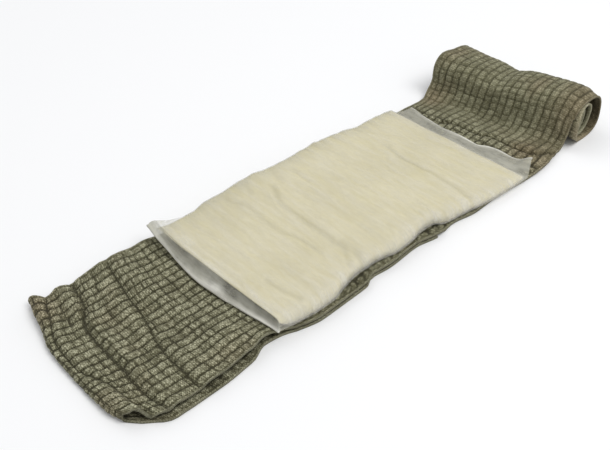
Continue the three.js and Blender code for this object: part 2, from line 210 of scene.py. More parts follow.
# The wound strip turn by turn: loss of half depth, lean to the start side, edges' reach
TURN_SHAPE = {
    "turn": (0, 0.45, 1, 1.45, 2, 3, 4.4),
    "loss": (0, 1.5, 5.4, 8, 9.4, 12, 14.7),
    "lean": (0, 0.2, 3.8, 5.4, 6.2, 7.2, 7.7),
}
TURN_EDGES = {
    "turn": (0, 0.35, 0.58, 0.72, 0.85, 0.97, 1.2, 2, 4.4),
    "front_out": (0.25, 0.12, 0.42, 0.45, 0.75, 0.8, 0.3, -0.1, -0.3),
    "back_out": (0.1, 0.1, 0, 0, 0, 0, -0.1, -0.2, -0.3),
}

# Warmer and browner places of the yarn: along and across the strip, length, width and force
WARM_PATCHES = (
    (4, 0.93, 9, 0.1, 0.8),
    (300, 0.05, 26, 0.16, 0.7),
    (340, 0.02, 30, 0.14, 0.9),
    (372, 0.03, 30, 0.09, 1),
    (390, 0.0, 40, 0.05, 1),
    (312, 0.92, 12, 0.1, 0.9),
    (352, 0.95, 10, 0.07, 0.7),
    (366, 0.82, 9, 0.07, 0.5),
    (348, 0.3, 9, 0.05, 0.6),
)

# Thickness of the pad along its filling, and how far its long edges draw in
PAD_COLUMNS = ("along", "front", "middle", "back", "front_in", "back_in")
PAD_ROWS = (
    (0, 0.88, 0.93, 0.78, 0, 0),
    (0.06, 0.9, 0.97, 0.78, -0.15, 0),
    (0.11, 0.82, 0.9, 0.8, -0.3, 0.05),
    (0.16, 0.92, 1.05, 1, -0.3, -0.1),
    (0.22, 0.92, 1.05, 1.06, 0.1, -0.1),
    (0.28, 0.8, 0.9, 1.1, 0.42, -0.2),
    (0.34, 0.9, 1.02, 1.15, 0.48, -0.25),
    (0.385, 0.76, 0.86, 0.98, 0.28, -0.1),
    (0.43, 0.9, 1.02, 0.93, 0.04, 0),
    (0.48, 0.92, 1, 0.9, 0.12, 0),
    (0.56, 0.92, 1.03, 0.98, 0.42, -0.05),
    (0.6, 0.92, 1.02, 1.05, 0.36, -0.15),
    (0.64, 0.9, 1, 1.1, 0, -0.25),
    (0.72, 0.8, 0.88, 1, -0.26, -0.2),
    (0.79, 0.68, 0.75, 0.84, -0.55, 0.03),
    (0.84, 0.6, 0.62, 0.72, -0.7, -0.15),
    (0.9, 0.6, 0.66, 0.7, -0.8, -0.1),
    (0.97, 0.52, 0.56, 0.56, -0.85, -0.08),
    (1, 0.5, 0.54, 0.5, -0.8, 0.3),
    (1.05, 0.5, 0.54, 0.5, -0.3, 0.85),
    (1.08, 0.5, 0.54, 0.5, 0, 0.9),
)

# The veil's two ends seen from above, and how far its start end is pulled up
VEIL_ENDS = {
    "from_front": (-5, 1, 8, 12, 20, 30, 37, 45, 53, 64, 73, 82, 93, 100),
    "end": (288.2, 288.6, 287.6, 286.4, 286.8, 285.4, 282.4,
            283, 283.2, 282.4, 283.2, 284.7, 286.8, 287),
    "start": (83, 83, 82.2, 81.7, 80.7, 80, 79.1, 78.7, 78.4, 78.8, 79.6, 80.3, 80.6, 80),
    "wing": (0, 0, 0, 0, 0, 0, 0, 0, 0, 0.04, 0.12, 0.26, 0.45, 1),
}

# Creases across the wrap: share of the width and distance from the fold along the cloth
WRAP_CREASES = (
    {"across": (0, 0.27, 0.49, 0.72, 1), "along": (10.8, 10.4, 4.5, 5, 8.3),
     "deep": 1, "wide": 1.4},
    {"across": (0, 0.24, 0.35, 0.48, 0.62, 0.7, 0.86, 1), "deep": 1.6, "wide": 2,
     "along": (18.5, 18.7, 20.2, 20, 20.2, 21.2, 25.5, 24)},
    {"across": (0, 0.34, 0.53, 0.68, 1), "along": (36, 40, 45, 47, 47), "deep": 0.8, "wide": 2},
    {"across": (0, 0.1, 0.23, 0.36, 0.43, 0.55, 0.64, 0.7, 0.81, 1), "deep": 1.5, "wide": 1.4,
     "along": (308, 299.5, 298, 298.4, 294.5, 293.8, 292.8, 288.5, 286, 284.6)},
)

# Creases across the pad: distance from the front edge and from the fold
PAD_CREASES = (
    {"from_front": (44, 67, 91), "along": (103.4, 102.4, 101), "deep": 0.37, "wide": 1.4},
    {"from_front": (22, 38, 49, 77, 93), "along": (133.5, 132.5, 129, 130.4, 125.7),
     "deep": 0.55, "wide": 1.6},
    {"from_front": (5, 20, 43, 66, 83), "along": (138, 144.6, 145, 146, 152.4),
     "deep": 0.65, "wide": 1.9},
    {"from_front": (3, 12, 24), "along": (145, 147, 147.5), "deep": 0.74, "wide": 2.4},
    {"from_front": (70, 88), "along": (171.3, 172.6), "deep": 0.37, "wide": 1.4},
    {"from_front": (0, 17, 37, 52, 72), "along": (229.8, 233, 233.3, 232, 235.8),
     "deep": 0.65, "wide": 1.7},
    {"from_front": (5, 18, 28), "along": (103, 100.3, 99.4), "deep": 0.62, "wide": 1.8},
    {"from_front": (4, 21), "along": (203.6, 205.3), "deep": 0.22, "wide": 1.2},
    {"from_front": (5, 15), "along": (170, 174.5), "deep": 0.22, "wide": 1.2},
    {"from_front": (84, 97), "along": (140, 143), "deep": 0.37, "wide": 2.1},
    {"from_front": (80, 97), "along": (160, 163), "deep": 0.31, "wide": 2.2},
    {"from_front": (74, 97), "along": (206, 198), "deep": 0.22, "wide": 2},
    {"from_front": (76, 97), "along": (246, 232), "deep": 0.19, "wide": 1.8},
)


def as_table(names, rows):
    return {name: tuple(row[i] for row in rows) for i, name in enumerate(names)}


HALF_CLOTH = CLOTH / 2
GATHERS = as_table(GATHER_COLUMNS, GATHER_ROWS)
ROLL = as_table(ROLL_COLUMNS, ROLL_ROWS)
PAD = as_table(PAD_COLUMNS, PAD_ROWS)


def hermite(t):
    """Weights of a start value, the slope there, an end value and the slope there"""
    return (
        2 * t ** 3 - 3 * t ** 2 + 1,
        t ** 3 - 2 * t ** 2 + t,
        3 * t ** 2 - 2 * t ** 3,
        t ** 3 - t ** 2,
    )


def curve(table, key, column, at):
    """Smooth value of a table column, level at each row that is a peak or a dip"""
    keys = np.array(table[key], float)
    values = np.array(table[column], float)
    slopes = np.diff(values) / np.diff(keys)
    tangents = np.zeros(len(keys))
    product = slopes[:-1] * slopes[1:]
    total = slopes[:-1] + slopes[1:]
    same = product > 0
    tangents[1:-1][same] = 2 * product[same] / total[same]
    at = np.clip(at, keys[0], keys[-1])
    row = np.clip(np.searchsorted(keys, at, side="right") - 1, 0, len(keys) - 2)
    span = keys[row + 1] - keys[row]
    start, leaving, end, arriving = hermite((at - keys[row]) / span)
    return (start * values[row] + leaving * span * tangents[row]
            + end * values[row + 1] + arriving * span * tangents[row + 1])


def blend(t):
    """Smooth step from 0 to 1"""
    t = np.clip(t, 0, 1)
    return t * t * (3 - 2 * t)


def rising(value, start, length):
    """Smooth step from 0 to 1 that begins at start and takes length"""
    return blend((value - start) / length)


def bell(distance, width):
    """Value that is 1 at no distance and fades out over the width"""
    return np.exp(-(distance / width) ** 2)


def mix(a, b, t):
    return a + (b - a) * t


def height_across(table, along, share):
    """Height between the front, middle and back columns of a table"""
    front = curve(table, "along", "front", along)
    middle = curve(table, "along", "middle", along)
    back = curve(table, "along", "back", along)
    near = mix(front, middle, blend(2 * share))
    far = mix(middle, back, blend(2 * share - 1))
    return np.where(share < 0.5, near, far)


def noise(x, y, seed):
    """Smooth random value from -1 to 1, with one bump to each whole number"""
    size = 97
    lattice = np.random.default_rng(seed).uniform(-1, 1, (size, size))
    column = np.floor(x).astype(int)
    row = np.floor(y).astype(int)
    tx = blend(x - column)
    ty = blend(y - row)

    def at(i, j):
        return lattice[(row + j) % size, (column + i) % size]

    near = mix(at(0, 0), at(1, 0), tx)
    far = mix(at(0, 1), at(1, 1), tx)
    return mix(near, far, ty)


def crease_dip(creases, key, across, along):
    """Depth of the creases at points of a surface"""
    dip = np.zeros(np.broadcast(across, along).shape)
    for crease in creases:
        place = curve(crease, key, "along", across)
        start = crease[key][0]
        end = crease[key][-1]
        reach = 0.08 * (end - start) + 1e-6
        inside = blend((across - start) / reach + 0.5) * blend((end - across) / reach + 0.5)
        away = (along - place) / crease["wide"]
        shape = np.exp(-away ** 2) - 0.35 * np.exp(-((np.abs(away) - 2) / 1.1) ** 2)
        dip = dip + crease["deep"] * inside * shape
    return dip


def laid_top(x, share):
    """Height of the upper face of the laid strip"""
    lift = height_across(GATHERS, x / ROLL_START, share)
    bed = (CLOTH + LAYER_GAP) * (1 - blend((x - TAIL - CLOTH) / (4 * CLOTH)))
    return CLOTH + bed + lift * GATHER


def edge_waved(share, front_out, back_out):
    """Place from front to back of the strip, with its edges moved in or out"""
    near_front = np.maximum(0, 1 - share / EDGE_REACH)
    near_back = np.maximum(0, 1 - (1 - share) / EDGE_REACH)
    return share * WRAP_WIDTH + EDGE_WAVE * (near_back * back_out - near_front * front_out)


def wrap_y(x, share):
    """Place from front to back of the strip while it is laid"""
    along = x / ROLL_START
    front_out = curve(GATHERS, "along", "front_out", along)
    back_out = curve(GATHERS, "along", "back_out", along)
    return edge_waved(share, front_out, back_out)


def roll_section(share):
    """Centre, half sizes and arrival of the roll's section at one share of the width"""
    row = {name: curve(ROLL, "across", name, share) for name in ROLL_COLUMNS[1:]}
    arrive = np.radians(row["arrive"])
    depth = row["depth"] * ROLL_DEPTH
    height = row["height"] * ROLL_HEIGHT
    full = 2 * np.pi
    half_depth = (depth - CLOTH + TURN_SHAPE["loss"][1]) / 2
    turns = (arrive - np.pi / 2) / full + (arrive + np.pi / 2) / full
    half_height = (height - CLOTH + TURN_PITCH * turns) / 2
    left = ROLL_START + row["shift"] * ROLL_DEPTH + (ROLL_DEPTH - depth) / 2
    return {
        "arrive": arrive,
        "square": row["square"],
        "half_depth": half_depth,
        "half_height": half_height,
        "climb": row["climb"] * CLIMB,
        "x": left + HALF_CLOTH + half_depth,
        "z": HALF_CLOTH + half_height - TURN_PITCH * (arrive + np.pi / 2) / full,
    }


def on_roll(section, turn):
    """Place along the wrap and height of the wound strip"""
    angle = section["arrive"] - turn * 2 * np.pi
    half_depth = section["half_depth"] - curve(TURN_SHAPE, "turn", "loss", turn)
    half_height = section["half_height"] - TURN_PITCH * turn
    towards_start = np.clip(-2 * np.cos(angle), 0, 1) * np.clip(np.sin(angle), 0, 1) ** 2
    corners = np.abs(np.sin(2 * angle))
    square = 1 + ROLL_SQUARE * corners ** 2 + section["square"] * towards_start * corners
    lean = curve(TURN_SHAPE, "turn", "lean", turn)
    x = section["x"] - lean + square * half_depth * np.cos(angle)
    z = section["z"] + square * half_height * np.sin(angle)
    return x, z


def along_of_turn(turn):
    return ROLL_FROM + 2 * np.pi * (MEAN_RADIUS * turn - RADIUS_LOSS * turn ** 2)


def turn_of_along(along):
    reach = np.maximum(along - ROLL_FROM, 0) / (2 * np.pi)
    inner = np.maximum(MEAN_RADIUS ** 2 - 4 * RADIUS_LOSS * reach, 0)
    return (MEAN_RADIUS - np.sqrt(inner)) / (2 * RADIUS_LOSS)


STRIP_END = along_of_turn(ROLL_TURNS)


def laid_part(along, share, fold_x, start_x):
    """Place of the laid strip and of the tail under it"""
    away = np.abs(along)
    skew = (fold_x - FOLD_HALF) * (1 - rising(away, FOLD_HALF, SKEW_REACH))
    flat_x = away + skew
    approach = (along - LAID_END) / (CLIMB_FROM - LAID_END)
    laid_x = np.where(along > LAID_END, mix(LAID_END, start_x, approach), flat_x)
    laid_x = np.minimum(laid_x, start_x)
    x = np.where(along < 0, flat_x, laid_x)
    z = np.where(along < 0, HALF_CLOTH, laid_top(laid_x, share) - HALF_CLOTH)
    return x, wrap_y(x, share), z


def folded_part(along, share, fold_x):
    """Place of the bend at the folded end"""
    high = laid_top(fold_x, share) - HALF_CLOTH
    angle = np.pi * (np.clip(along, -FOLD_HALF, FOLD_HALF) + FOLD_HALF) / (2 * FOLD_HALF)
    x = fold_x - BEND * np.sin(angle)
    z = (high + HALF_CLOTH) / 2 - (high - HALF_CLOTH) / 2 * np.cos(angle)
    return x, wrap_y(x, share), z


def climbing_part(along, share, section, start_x):
    """Place of the stretch that climbs on to the roll"""
    landing = on_roll(section, 0)
    beyond = on_roll(section, 0.01)
    radians = 0.01 * 2 * np.pi
    slope = [(b - a) / radians for a, b in zip(landing, beyond)]
    start_z = laid_top(start_x, share) - HALF_CLOTH
    reach = np.hypot(landing[0] - start_x, landing[1] - start_z)
    scale = reach / np.hypot(slope[0], slope[1])
    t = np.clip((along - CLIMB_FROM) / (ROLL_FROM - CLIMB_FROM), 0, 1)
    start, leaving, end, arriving = hermite(t)
    x = start * start_x + leaving * reach + end * landing[0] + arriving * slope[0] * scale
    z = start * start_z + end * landing[1] + arriving * slope[1] * scale
    return x, wrap_y(np.minimum(x, ROLL_START), share), z


def wound_part(along, share, section):
    """Place of the roll's turns"""
    turn = turn_of_along(along)
    x, z = on_roll(section, turn)
    front_out = curve(TURN_EDGES, "turn", "front_out", turn)
    back_out = curve(TURN_EDGES, "turn", "back_out", turn)
    return x, edge_waved(share, front_out, back_out), z


def strip_swell(along, share):
    """Rise of the laid cloth by its own swells and creases, none of it under the pad"""
    shown = np.where(along < 0, 0, 1) * (1 - rising(along, *SWELL_OUT))
    shown = shown + rising(along, *SWELL_BACK)
    swell = noise(along / 11 + 40, share * 6, 5) + 0.5 * noise(along / 6 + 40, share * 11, 6)
    dip = crease_dip(WRAP_CREASES, "across", share, along)
    rise = shown * (STRIP_SWELL * swell - dip * rising(along, 1, 3))
    return np.where((along > 0) & (along < CLIMB_FROM), rise, 0)


def strip(along, share):
    """Middle surface of the strip. Along counts from the fold, below zero in the tail"""
    nose = END_SKEW * curve(END_OUTLINE, "across", "back", share)
    fold_x = nose + HALF_CLOTH + BEND
    section = roll_section(share)
    start_x = section["x"] - section["half_depth"] - section["climb"]
    x, y, z = laid_part(along, share, fold_x, start_x)
    stretches = (
        (np.abs(along) < FOLD_HALF, folded_part(along, share, fold_x)),
        (along > CLIMB_FROM, climbing_part(along, share, section, start_x)),
        (along > ROLL_FROM, wound_part(along, share, section)),
    )
    for here, place in stretches:
        x = np.where(here, place[0], x)
        y = np.where(here, place[1], y)
        z = np.where(here, place[2], z)

    y = y + curve(END_PULL, "from_end", "front", x) * (1 - share) ** 3
    inset = curve(UPPER_INSET, "from_end", "front", x)
    y = y + np.where(along > 0, inset, 0) * (1 - share) ** 5
    swelled = z + strip_swell(along, share)
    lowest = np.where(x < TAIL + CLOTH, CLOTH + OVER_TAIL, HALF_CLOTH)
    z = np.maximum(swelled, np.where(along > FOLD_HALF, np.minimum(lowest, z), swelled))
    return np.stack([x, y, z], axis=-1)


def outward(along, share):
    """Direction of the strip's outer face"""
    step = 0.25
    ahead = strip(along + step, share) - strip(along - step, share)
    side = step / WRAP_WIDTH
    across = strip(along, share + side) - strip(along, share - side)
    normal = np.cross(ahead, across)
    return normal / np.maximum(np.linalg.norm(normal, axis=-1, keepdims=True), 1e-9)


def line_spacing(place):
    """Mean distance of the cross lines at one place along the strip"""
    if place < -8 or 100 < place < 275:
        return LINE_SPACING["hidden"]
    return LINE_SPACING["wound"] if 300 < place < 440 else LINE_SPACING["shown"]


def weave_lines(seed):
    """Places of the cross lines along the strip, one row to a line and one column to a rib"""
    random = np.random.default_rng(seed)
    places = [-TAIL + 0.0]
    while places[-1] < STRIP_END - LAST_CELL:
        spacing = line_spacing(places[-1])
        places.append(places[-1] + spacing * random.uniform(*LINE_SPREAD))
    places[-1] = STRIP_END
    middle = (np.arange(RIBS) + 0.5) / RIBS
    lines = np.repeat(np.array(places)[:, None], RIBS, axis=1)
    strength = random.uniform(0.45, 1, lines.shape)
    strength = np.where(random.random(lines.shape) < FAINT_SHARE, 0.15, strength)
    wander = noise(lines / 9 + 30, middle[None, :] * 6, seed + 1) * LINE_WANDER
    loose = random.uniform(-1, 1, lines.shape) * LINE_LOOSE
    firm = np.zeros(len(places), bool)
    lines = lines + wander + loose
    for crease in WRAP_CREASES:
        nearest = int(np.argmin(np.abs(np.array(places) - np.mean(crease["along"]))))
        lines[nearest] = curve(crease, "across", "along", middle)
        strength[nearest] = 1
        firm[nearest] = True
    for k in range(1, len(places) - 1):
        if not firm[k]:
            lines[k] = np.maximum(lines[k], lines[k - 1] + LEAST_SPACING)
    for k in range(len(places) - 2, 0, -1):
        if not firm[k]:
            lines[k] = np.minimum(lines[k], lines[k + 1] - LEAST_SPACING)
        elif k > 1:
            lines[k] = np.maximum(lines[k], lines[k - 1] + BEFORE_CREASE)
    lines[0] = -TAIL
    lines[-1] = STRIP_END
    return lines, strength


def weave_rows(lines, strength):
    """Places along each rib of the rows of points, their height and the line before each"""
    places, heights, before = [], [], []
    for k in range(len(lines) - 1):
        middle = float(np.mean(lines[k]))
        fine = any(low < middle < high for low, high in FINE_RUNS)
        parts = FINE_PARTS if fine else ROUGH_PARTS
        shapes = FINE_SHAPE if fine else ROUGH_SHAPE
        for part, shape in zip(parts, shapes):
            force = strength[k] if part < 0.5 else strength[k + 1]
            places.append(mix(lines[k], lines[k + 1], part))
            heights.append(1 - force * (1 - shape))
            before.append(k)
    places.append(lines[-1])
    heights.append(np.full(RIBS, 0.4))
    before.append(len(lines) - 1)
    return np.array(places), np.array(heights), before


def groove(number, place, seed):
    """Place of a groove between two ribs, counted in ribs from the front edge"""
    if number in (0, RIBS):
        return number
    wander = noise(place / 7 + 50, np.full(place.shape, number + 0.5), seed)
    return number + RIB_WOBBLE * wander


def wrap_grid(seed):
    """Place, relief and tone of the wrap's mesh points"""
    lines, strength = weave_lines(seed)
    random = np.random.default_rng(seed + 2)
    plump = random.uniform(0.72, 1.1, lines.shape)
    tone = random.uniform(-1, 1, lines.shape)
    along_rib, lengthwise, before = weave_rows(lines, strength)
    plump = plump[before]
    tone = tone[before]
    beside = ((0, RIB_PARTS[1]), (RIBS - 1, RIB_PARTS[-1]))
    along, share, relief, tones = [], [], [], []
    for rib in range(RIBS):
        for part, height in zip(RIB_PARTS, RIB_SHAPE):
            place = along_rib[:, rib]
            length = lengthwise[:, rib]
            if part == 0:
                other = max(rib - 1, 0)
                place = (place + along_rib[:, other]) / 2
                length = (length + lengthwise[:, other]) / 2
            if (rib, part) == (0, 0):
                height = SELVEDGE
                length = np.ones(length.shape)
            elif (rib, part) in beside:
                height = BESIDE_SELVEDGE
                length = np.ones(length.shape)
            length = mix(length, 1, LINES_SOFTER * rising(place, *CALMER))
            left = groove(rib, place, seed + 3)
            right = groove(rib + 1, place, seed + 3)
            along.append(place)
            share.append(mix(left, right, part) / RIBS)
            relief.append(height * length * plump[:, rib])
            tones.append(tone[:, rib])
    along.append(along_rib[:, -1])
    share.append(np.ones(len(along_rib)))
    relief.append(np.full(len(along_rib), SELVEDGE))
    tones.append(tone[:, -1])
    return tuple(np.stack(values, axis=1) for values in (along, share, relief, tones))


def quads(*corners):
    return np.stack(corners, -1).reshape(-1, 4)


def faces_between(rows, cols, start):
    """Quads of a closed body between two grids, the second with its points after the first"""
    over = start + np.arange(rows * cols).reshape(rows, cols)
    under = over + rows * cols
    return np.concatenate([
        quads(over[:-1, :-1], over[1:, :-1], over[1:, 1:], over[:-1, 1:]),
        quads(under[:-1, :-1], under[:-1, 1:], under[1:, 1:], under[1:, :-1]),
        quads(under[:-1, 0], under[1:, 0], over[1:, 0], over[:-1, 0]),
        quads(under[1:, -1], under[:-1, -1], over[:-1, -1], over[1:, -1]),
        quads(under[0, 1:], under[0, :-1], over[0, :-1], over[0, 1:]),
        quads(under[-1, :-1], under[-1, 1:], over[-1, 1:], over[-1, :-1]),
    ])


def both_faces(across, along):
    """Flat place of the outer face's points in metres, then of the under face's"""
    flat = np.stack([across, along], -1).reshape(-1, 2)
    return np.concatenate([flat, flat + np.array([UNDER_ASIDE, 0])])


def show(obj):
    bpy.context.scene.collection.objects.link(obj)


def make_piece(name, points, faces, flat, values):
    """Object from points in millimetres, with its flat cloth place as UV and named values"""
    mesh = bpy.data.meshes.new(name)
    metres = (points + np.array([ORIGIN_X, ORIGIN_Y, 0])) / 1000
    mesh.vertices.add(len(metres))
    mesh.vertices.foreach_set("co", metres.astype(np.float32).ravel())
    mesh.loops.add(faces.size)
    mesh.loops.foreach_set("vertex_index", faces.astype(np.int32).ravel())
    mesh.polygons.add(len(faces))
    mesh.polygons.foreach_set("loop_start", np.arange(0, faces.size, 4, dtype=np.int32))
    mesh.polygons.foreach_set("use_smooth", np.ones(len(faces), bool))
    mesh.update(calc_edges=True)
    layer = mesh.uv_layers.new(name="cloth")
    layer.data.foreach_set("uv", flat[faces.ravel()].astype(np.float32).ravel())
    for key, column in values.items():
        attribute = mesh.attributes.new(key, "FLOAT", "POINT")
        attribute.data.foreach_set("value", column.astype(np.float32))
    mesh.validate()
    obj = bpy.data.objects.new(name, mesh)
    show(obj)
    return obj


class Nodes:
    """Short calls for building one material's net of nodes"""

    def __init__(self, name):
        self.material = bpy.data.materials.new(name)
        self.material.use_nodes = True
        self.tree = self.material.node_tree
        self.tree.nodes.clear()
        self.output = self.tree.nodes.new("ShaderNodeOutputMaterial")

    def put(self, socket, value):
        """Link a socket to another one or set its value"""
        if isinstance(value, bpy.types.NodeSocket):
            self.tree.links.new(value, socket)
        elif value is not None:
            socket.default_value = value

    def add(self, kind, out=0, settings=None, **inputs):
        """Output of a new node. Its inputs go by name, or by number as at0, at1 and so on"""
        node = self.tree.nodes.new("ShaderNode" + kind)
        for key, value in (settings or {}).items():
            setattr(node, key, value)
        for key, value in inputs.items():
            name = key.replace("_", " ")
            socket = node.inputs[int(key[2:])] if key.startswith("at") else node.inputs[name]
            self.put(socket, value)
        return node.outputs[out]

    def math(self, operation, a, b=None, c=None, clamp=False):
        settings = {"operation": operation, "use_clamp": clamp}
        return self.add("Math", settings=settings, at0=a, at1=b, at2=c)

    def plus(self, a, b, clamp=False):
        return self.math("ADD", a, b, clamp=clamp)

    def minus(self, a, b, clamp=False):
        return self.math("SUBTRACT", a, b, clamp=clamp)

    def times(self, a, b, clamp=False):
        return self.math("MULTIPLY", a, b, clamp=clamp)

    def times_plus(self, a, b, c, clamp=False):
        return self.math("MULTIPLY_ADD", a, b, c, clamp=clamp)

    def value(self, name):
        """Named value of the mesh"""
        return self.add("Attribute", out=2, settings={"attribute_name": name})

    def flat_cloth(self):
        return self.add("UVMap", settings={"uv_map": "cloth"})

    def noise(self, vector, scale, detail=2.0, roughness=0.5):
        return self.add("TexNoise", Vector=vector, Scale=scale, Detail=detail, Roughness=roughness)

    def stretch(self, vector, x, y):
        settings = {"operation": "MULTIPLY"}
        return self.add("VectorMath", settings=settings, at0=vector, at1=(x, y, 1))

    def shader(self, colour, roughness, specular, normal=None):
        """Plain surface with its colour, roughness and shine"""
        node = self.tree.nodes.new("ShaderNodeBsdfPrincipled")
        self.put(node.inputs["Base Color"], colour)
        self.put(node.inputs["Normal"], normal)
        node.inputs["Roughness"].default_value = roughness
        node.inputs["Specular IOR Level"].default_value = specular
        return node

    def finish(self, node):
        self.put(self.output.inputs["Surface"], node.outputs[0])
        return self.material

    def mixed(self, factor, a, b, how="MIX"):
        """Mix of two colours, which are inputs 6 and 7 of the node, and output 2"""
        node = self.tree.nodes.new("ShaderNodeMix")
        node.data_type = "RGBA"
        node.blend_type = how
        self.put(node.inputs[0], factor)
        self.put(node.inputs[6], a)
        self.put(node.inputs[7], b)
        return node.outputs[2]

    def ramp(self, factor, stops):
        node = self.tree.nodes.new("ShaderNodeValToRGB")
        self.put(node.inputs[0], factor)
        ramp = node.color_ramp
        for i, (place, colour) in enumerate(stops):
            stop = ramp.elements[i] if i < 2 else ramp.elements.new(place)
            stop.position = place
            stop.color = (*colour, 1)
        return node.outputs[0]

    def bump(self, height, distance, strength=1.0):
        return self.add("Bump", Height=height, Distance=distance, Strength=strength)


def cloth_material():
    """Gathered elastic knit: pale loops over dark ground, with painted shade darkening the colour
    down in the grooves
    """
    net = Nodes("elastic_knit")
    flat = net.flat_cloth()
    parts = net.tree.nodes.new("ShaderNodeSeparateXYZ")
    net.put(parts.inputs[0], flat)
    across, along = parts.outputs[0], parts.outputs[1]
    bend = net.minus(net.noise(flat, 420.0, 2.0), 0.5)
    wale = net.math("DIVIDE", net.plus(across, net.times(bend, WALE_WANDER)), WALE_WIDTH)
    leg = net.math("PINGPONG", wale, 0.5)
    course = net.plus(net.math("DIVIDE", along, COURSE_HEIGHT), net.times(leg, 1.5))
    course = net.plus(course, net.times(bend, 1.4))
    loop = net.times_plus(net.math("SINE", net.times(course, FULL_TURN)), 0.5, 0.5)
    gap = net.times(net.math("ABSOLUTE", net.minus(leg, 0.25)), 2.6)
    loop = net.times(loop, net.minus(1.0, gap))
    speck = net.add("TexVoronoi", Vector=flat, Scale=880.0, Randomness=1.0)
    speck = net.minus(1.0, net.times(speck, 1.45), clamp=True)
    knit = net.plus(net.times(loop, 0.5), net.times(speck, 0.5))
    knit = net.times_plus(net.minus(knit, 0.38), 2.4, 0.4, clamp=True)
    speckle = net.times_plus(net.value("calm"), -0.45, 1.0)
    knit = net.times_plus(net.minus(knit, 0.45), speckle, 0.45)
    relief = net.value("relief")
    painted_light_and_tone = net.plus(relief, net.times(net.value("tone"), 0.05))
    patch = net.noise(flat, 45.0, 2.0)
    painted_light_and_tone = net.plus(painted_light_and_tone, net.times(net.minus(patch, 0.5), 0.25))
    painted_light_and_tone = net.plus(painted_light_and_tone, net.times(net.minus(knit, 0.5), 0.22))
    # Painted shade: low relief values, down in the grooves and creases, pick the darker colours of
    # both ramps; tone, patches and knit vary them at random
    ground = net.ramp(painted_light_and_tone, (
        (0.05, (0.036, 0.033, 0.016)),
        (0.4, (0.082, 0.076, 0.040)),
        (0.75, (0.142, 0.136, 0.080)),
        (1.0, (0.182, 0.174, 0.107)),
    ))
    yarn = net.ramp(painted_light_and_tone, (
        (0.05, (0.072, 0.067, 0.037)),
        (0.4, (0.28, 0.27, 0.165)),
        (0.75, (0.53, 0.515, 0.345)),
        (1.0, (0.64, 0.625, 0.435)),
    ))
    colour = net.mixed(knit, ground, yarn)
    rosy = net.minus(net.noise(flat, 26.0, 2.0), 0.54)
    rosy = net.times(rosy, 2.0, clamp=True)
    rosy = net.plus(rosy, net.times(net.value("warm"), 0.75), clamp=True)
    colour = net.mixed(rosy, colour, (1.0, 0.83, 0.80, 1), "MULTIPLY")
    height = net.plus(net.times(knit, 0.8), net.times(relief, 0.2))
    shader = net.shader(colour, 0.95, 0.15, net.bump(height, 0.0004, 0.8))
    shader.inputs["Sheen Weight"].default_value = 0.05
    shader.inputs["Sheen Roughness"].default_value = 0.6
    return net.finish(shader)


def fibre_streaks(net, flat):
    """Fine fibres that lie across the wrap, from 0 to 1"""
    fine = net.noise(net.stretch(flat, 170.0, 1500.0), 1.0, 3.0, 0.6)
    long = net.noise(net.stretch(flat, 60.0, 620.0), 1.0, 2.0, 0.5)
    return net.plus(net.times(fine, 0.6), net.times(long, 0.4))


def core_material():
    """Pressed absorbent filling, cream, with faint lines and painted shade darkening the creases
    """
    net = Nodes("absorbent_filling")
    flat = net.flat_cloth()
    streak = fibre_streaks(net, flat)
    patch = net.noise(flat, 28.0, 3.0)
    shade = net.plus(net.times(streak, 0.6), net.times(patch, 0.4))
    colour = net.ramp(shade, (
        (0.3, (0.545, 0.495, 0.305)),
        (0.5, (0.63, 0.58, 0.38)),
        (0.7, (0.72, 0.67, 0.48)),
    ))
    # Painted shade: the crease depth darkens the filling's colour
    crease = net.times(net.value("crease"), 0.42, clamp=True)
    colour = net.mixed(crease, colour, (0.30, 0.27, 0.14, 1))
    return net.finish(net.shader(colour, 0.95, 0.1, net.bump(shade, 0.0004, 0.5)))


def veil_material():
    """Thin fibrous nonwoven: the light passes between its fibres"""
    net = Nodes("nonwoven_veil")
    flat = net.flat_cloth()
    streak = fibre_streaks(net, flat)
    cloud = net.noise(flat, 150.0, 4.0, 0.6)
    fold = net.noise(net.stretch(flat, 45.0, 190.0), 1.0, 2.0)
    fibre = net.plus(net.times(streak, 0.35), net.times(cloud, 0.3))
    fibre = net.plus(fibre, net.times(fold, 0.35))
    spread = net.times_plus(net.minus(fibre, 0.5), 2.4, 1.0)
    spread = net.plus(spread, net.times(net.minus(fold, 0.5), 1.6))
    stopped = net.times(net.value("closeness"), spread, clamp=True)
    # Pale moves the veil's colour from grey, partly painted shade in the flanges, to white over
    # the filling
    colour = net.mixed(net.value("pale"), (0.60, 0.588, 0.50, 1), (0.90, 0.88, 0.80, 1))
    sheer = net.ramp(fibre, ((0.3, (0.86, 0.86, 0.86)), (0.7, (1.0, 1.0, 1.0))))
    colour = net.mixed(1.0, colour, sheer, "MULTIPLY")
    shader = net.shader(colour, 0.7, 0.25, net.bump(fibre, 0.0002, 0.5))
    clear = net.tree.nodes.new("ShaderNodeBsdfTransparent")
    both = net.tree.nodes.new("ShaderNodeMixShader")
    net.put(both.inputs[0], stopped)
    net.put(both.inputs[1], clear.outputs[0])
    net.put(both.inputs[2], shader.outputs[0])
    return net.finish(both)


